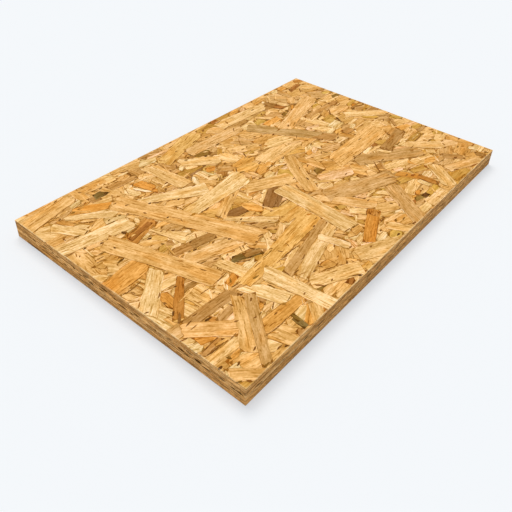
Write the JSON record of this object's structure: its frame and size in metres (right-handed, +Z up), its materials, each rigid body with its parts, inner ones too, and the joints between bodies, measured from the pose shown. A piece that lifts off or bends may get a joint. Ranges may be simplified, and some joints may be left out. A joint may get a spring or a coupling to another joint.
{
  "type": "oriented strand board panel",
  "caption": "Flat rectangular panel of oriented strand board: crossed, pressed wood strands on both faces and open-cored sawn edges, for sheathing, decking or shelving.",
  "frame": {"origin": "centre of the underside, on the level floor that the panel lies on", "axes": "+X along the panel's length, +Y along its width, +Z up through its thickness, out of the upper pressed face"},
  "size_m": [0.5, 0.325, 0.022],
  "materials": {
    "strand_board": "unsanded pressed softwood strands, dull waxy sheen, darker sawn edges"
  },
  "bodies": {
    "root": {"osb_panel": "strand_board"}
  },
  "joints": []
}
